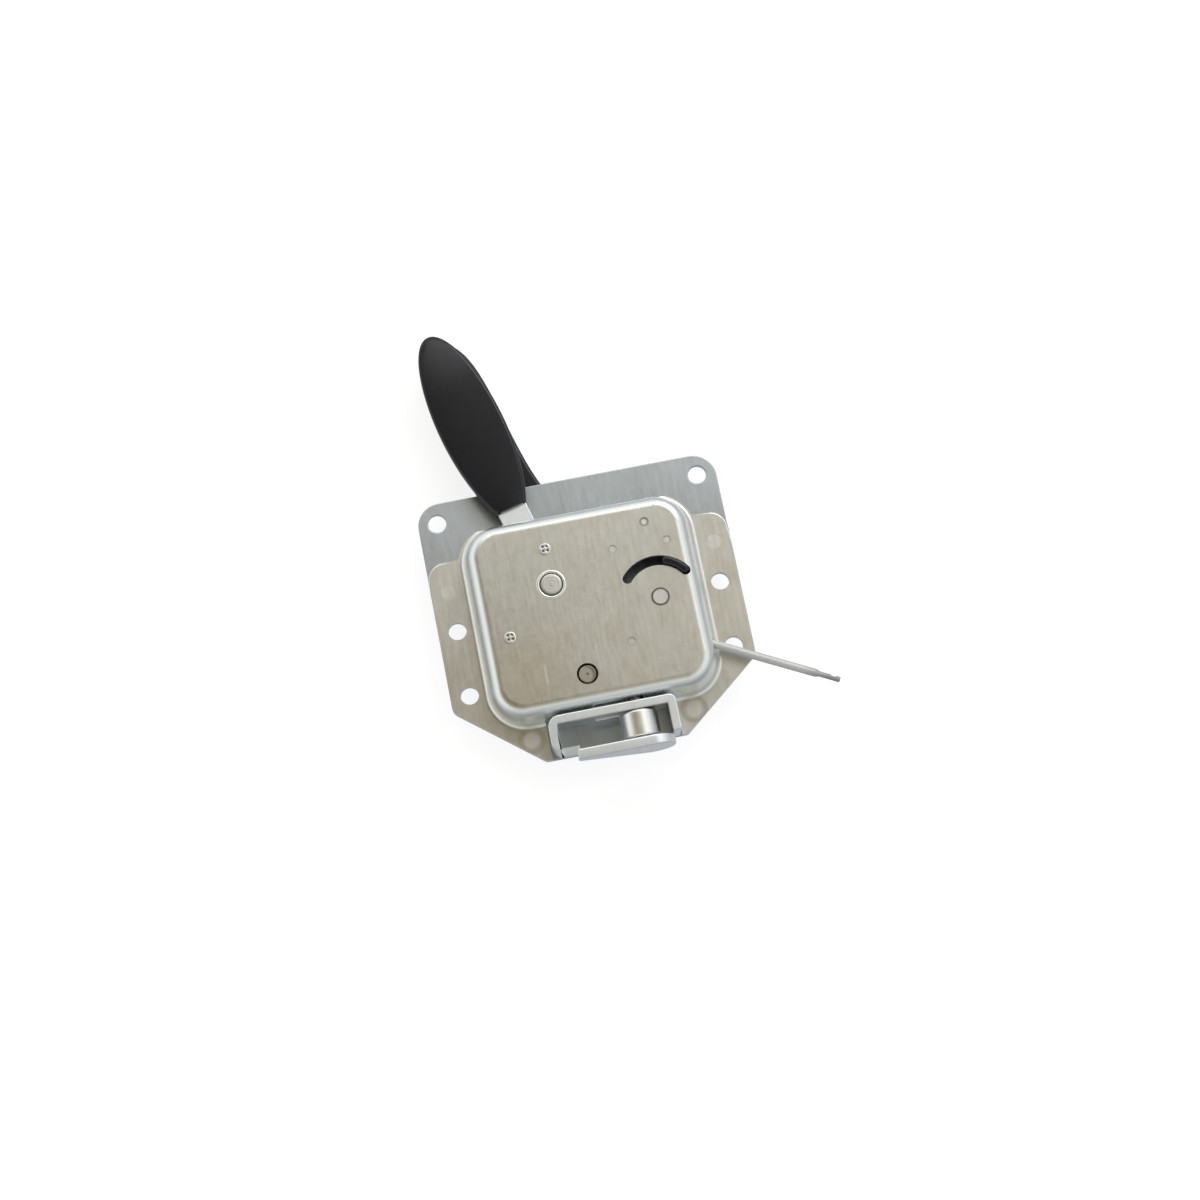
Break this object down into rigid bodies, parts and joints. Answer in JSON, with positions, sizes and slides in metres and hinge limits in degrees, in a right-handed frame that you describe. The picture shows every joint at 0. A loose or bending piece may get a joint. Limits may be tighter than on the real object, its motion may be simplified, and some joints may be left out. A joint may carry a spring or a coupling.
{
  "type": "door latch",
  "caption": "Plated steel door latch: flanged plate, drawn cover, two-leaf black handle, sliding roller bolt in a bracket, lock tab in an arc slot and a lock rod.",
  "frame": {"origin": "centre of the four outer screw holes, on the back face of the plate", "axes": "+Z out of the plate towards the cover, +Y along the plate towards the handle, +X across the plate"},
  "size_m": [0.1373, 0.1681, 0.0272],
  "materials": {
    "plate_zinc": "satin zinc plate",
    "cover_zinc": "brushed zinc plate",
    "bright_zinc": "bright zinc plate",
    "turned_steel": "turned",
    "plain_steel": "plain",
    "spring_steel": "drawn wire",
    "black_grip": "glossy",
    "black_tab": "satin"
  },
  "bodies": {
    "case": {"back_plate": "plate_zinc", "cover_pan": "cover_zinc", "bolt_bracket": "bright_zinc", "plate_rivets": "plain_steel", "stake_rivets": "plain_steel", "shaft_bush_front": "turned_steel", "shaft_bush_rear": "turned_steel", "guide_studs": "plain_steel", "spring_posts": "plain_steel", "lock_pin": "plain_steel", "lock_washer": "plain_steel", "bolt_spring": "spring_steel", "handle_spring": "spring_steel", "lock_spring": "spring_steel"},
    "handle": {"handle_shaft": "plain_steel", "handle_lever": "bright_zinc", "rear_lever": "bright_zinc", "drive_pin": "plain_steel", "shaft_clip": "spring_steel", "handle_grip": "black_grip"},
    "bolt": {"bolt_carriage": "plain_steel", "bolt_stem": "turned_steel", "bolt_tongue": "bright_zinc"},
    "roller": {"bolt_roller": "turned_steel"},
    "lock": {"lock_lever": "plain_steel", "lock_tab": "black_tab"},
    "rod": {"lock_rod": "bright_zinc", "rod_pin": "plain_steel"}
  },
  "joints": [
    {"name": "handle_swing", "type": "hinge", "parent": "case", "child": "handle", "pos_m": [-0.0122, -0.0012, 0.0075], "axis": [0, 0, -1], "range_deg": [0, 30], "stiffness_Nm_per_rad": 0.6, "springref_deg": -8.59, "deforming": ["handle_spring"]},
    {"name": "bolt_slide", "type": "slide", "parent": "case", "child": "bolt", "axis": [-1, 0, 0], "range_m": [0, 0.012], "deforming": ["bolt_spring"]},
    {"name": "roller_spin", "type": "hinge", "parent": "bolt", "child": "roller", "pos_m": [0.009, -0.056, 0.0092], "axis": [0, 1, 0], "continuous": true},
    {"name": "lock_swing", "type": "hinge", "parent": "case", "child": "lock", "pos_m": [0.0249, -0.013, 0.011], "axis": [0, 0, 1], "range_deg": [0, 65], "deforming": ["lock_spring"]},
    {"name": "rod_slide", "type": "slide", "parent": "case", "child": "rod", "axis": [0.887, -0.4617, 0], "range_m": [0, 0.0119]}
  ],
  "couplings": [
    {"joint": "bolt_slide", "follows": "handle_swing", "m_per_rad": 0.022738},
    {"joint": "rod_slide", "follows": "lock_swing", "m_per_rad": 0.010445}
  ]
}
